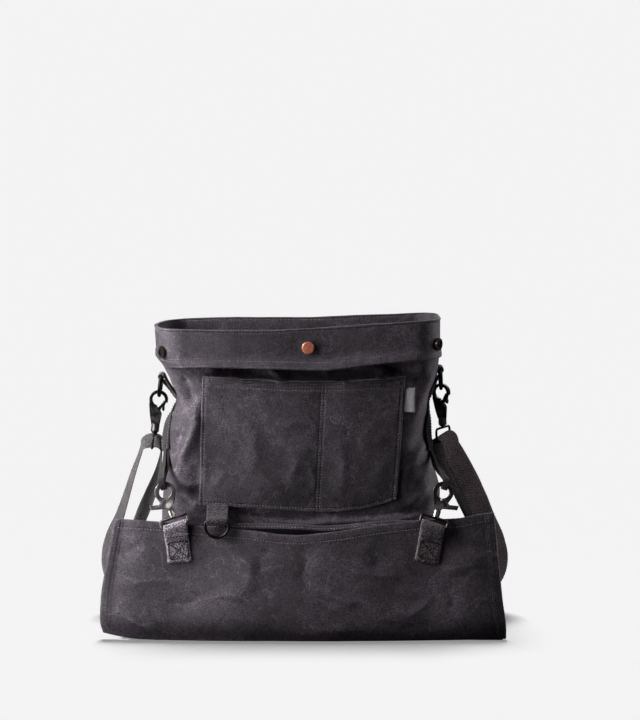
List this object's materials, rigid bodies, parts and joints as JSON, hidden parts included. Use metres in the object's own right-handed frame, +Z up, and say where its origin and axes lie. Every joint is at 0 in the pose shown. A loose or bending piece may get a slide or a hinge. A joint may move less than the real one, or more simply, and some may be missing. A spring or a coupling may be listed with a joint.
{
  "type": "harvest bag",
  "caption": "Waxed-canvas picking bag with a stiff open rim, front pockets, a tool ring, a drop-bottom flap clipped up by snap hooks, and a webbing strap on swivel hooks.",
  "frame": {"origin": "on the ground, under the middle of the bag's bounding box", "axes": "+X to the right as seen from the front, +Y from the front to the back, +Z up"},
  "size_m": [0.4275, 0.164, 0.319],
  "materials": {
    "waxed_canvas": "waxed cotton canvas with a faint sheen",
    "webbing": "woven cotton webbing",
    "woven_tag": "plain woven tape",
    "spring_steel": "spring temper",
    "black_metal": "black plated zinc",
    "copper": "antique copper",
    "antique_metal": "dark antique brass"
  },
  "bodies": {
    "bag": {"front_panel": "waxed_canvas", "back_panel": "waxed_canvas", "rim_band_front": "waxed_canvas", "rim_band_back": "waxed_canvas", "rim_stay": "spring_steel", "closure_snap_cap": "copper", "closure_snap_socket": "antique_metal", "closure_snap_back_cap": "copper", "closure_snap_stud": "antique_metal", "corner_snap_sockets": "antique_metal", "corner_snap_studs": "antique_metal", "corner_snap_washers": "antique_metal", "pocket_panel": "waxed_canvas", "woven_tag": "woven_tag", "side_tab_left": "webbing", "side_tab_right": "webbing", "side_webbing_left": "webbing", "side_webbing_right": "webbing", "flap_loop_left": "webbing", "flap_loop_right": "webbing", "strap_d_ring_left": "black_metal", "strap_d_ring_right": "black_metal", "tool_ring_tab": "webbing", "carrying_strap": "webbing", "strap_slider_left": "black_metal", "strap_slider_right": "black_metal", "strap_hook_eye_left": "black_metal", "strap_hook_eye_right": "black_metal"},
    "flap": {"flap_outer_panel": "waxed_canvas", "flap_inner_panel": "waxed_canvas", "flap_tab_left": "webbing", "flap_tab_right": "webbing", "flap_hook_eye_left": "black_metal", "flap_hook_eye_right": "black_metal"},
    "tool_ring": {"tool_ring": "black_metal"},
    "strap_hook_left": {"strap_hook_body_left": "black_metal", "strap_hook_rivet_left": "black_metal", "strap_hook_spring_left": "spring_steel"},
    "strap_gate_left": {"strap_hook_gate_left": "black_metal"},
    "strap_hook_right": {"strap_hook_body_right": "black_metal", "strap_hook_rivet_right": "black_metal", "strap_hook_spring_right": "spring_steel"},
    "strap_gate_right": {"strap_hook_gate_right": "black_metal"},
    "flap_hook_left": {"flap_hook_body_left": "black_metal", "flap_hook_rivet_left": "black_metal", "flap_hook_spring_left": "spring_steel"},
    "flap_gate_left": {"flap_hook_gate_left": "black_metal"},
    "flap_hook_right": {"flap_hook_body_right": "black_metal", "flap_hook_rivet_right": "black_metal", "flap_hook_spring_right": "spring_steel"},
    "flap_gate_right": {"flap_hook_gate_right": "black_metal"}
  },
  "joints": [
    {"name": "flap_fold", "type": "hinge", "parent": "bag", "child": "flap", "pos_m": [0, -0.081, 0.001], "axis": [1, 0, 0], "range_deg": [0, 91], "deforming": ["flap_loop_left", "flap_loop_right"]},
    {"name": "tool_ring_swing", "type": "hinge", "parent": "bag", "child": "tool_ring", "pos_m": [-0.0875, -0.0775, 0.1215], "axis": [-1, 0, 0], "range_deg": [0, 140]},
    {"name": "strap_swivel_left", "type": "hinge", "parent": "bag", "child": "strap_hook_left", "pos_m": [-0.15021, -0.004, 0.23621], "axis": [0.1305, 0, 0.9914], "range_deg": [-18, 18]},
    {"name": "strap_gate_open_left", "type": "hinge", "parent": "strap_hook_left", "child": "strap_gate_left", "pos_m": [-0.15468, -0.004, 0.22066], "axis": [0, -1, 0], "range_deg": [0, 22], "stiffness_Nm_per_rad": 0.02, "springref_deg": -17.19},
    {"name": "strap_swivel_right", "type": "hinge", "parent": "bag", "child": "strap_hook_right", "pos_m": [0.14079, -0.004, 0.24343], "axis": [-0.0523, 0, 0.9986], "range_deg": [0, 42]},
    {"name": "strap_gate_open_right", "type": "hinge", "parent": "strap_hook_right", "child": "strap_gate_right", "pos_m": [0.13944, -0.00302, 0.22734], "axis": [-0.4062, -0.9135, -0.0213], "range_deg": [0, 22], "stiffness_Nm_per_rad": 0.02, "springref_deg": -17.19},
    {"name": "flap_swivel_left", "type": "hinge", "parent": "flap", "child": "flap_hook_left", "pos_m": [-0.14, -0.06729, 0.14975], "axis": [-0.3, 0.2329, 0.9251], "range_deg": [-12, 12]},
    {"name": "flap_gate_open_left", "type": "hinge", "parent": "flap_hook_left", "child": "flap_gate_left", "pos_m": [-0.1358, -0.07055, 0.1368], "axis": [-0.0459, -0.9721, 0.2298], "range_deg": [0, 26], "stiffness_Nm_per_rad": 0.02, "springref_deg": -17.19},
    {"name": "flap_swivel_right", "type": "hinge", "parent": "flap", "child": "flap_hook_right", "pos_m": [0.14, -0.06729, 0.14975], "axis": [0.3, 0.2329, 0.9251], "range_deg": [-12, 12]},
    {"name": "flap_gate_open_right", "type": "hinge", "parent": "flap_hook_right", "child": "flap_gate_right", "pos_m": [0.1358, -0.07055, 0.1368], "axis": [-0.0459, 0.9721, -0.2298], "range_deg": [0, 26], "stiffness_Nm_per_rad": 0.02, "springref_deg": -17.19}
  ]
}
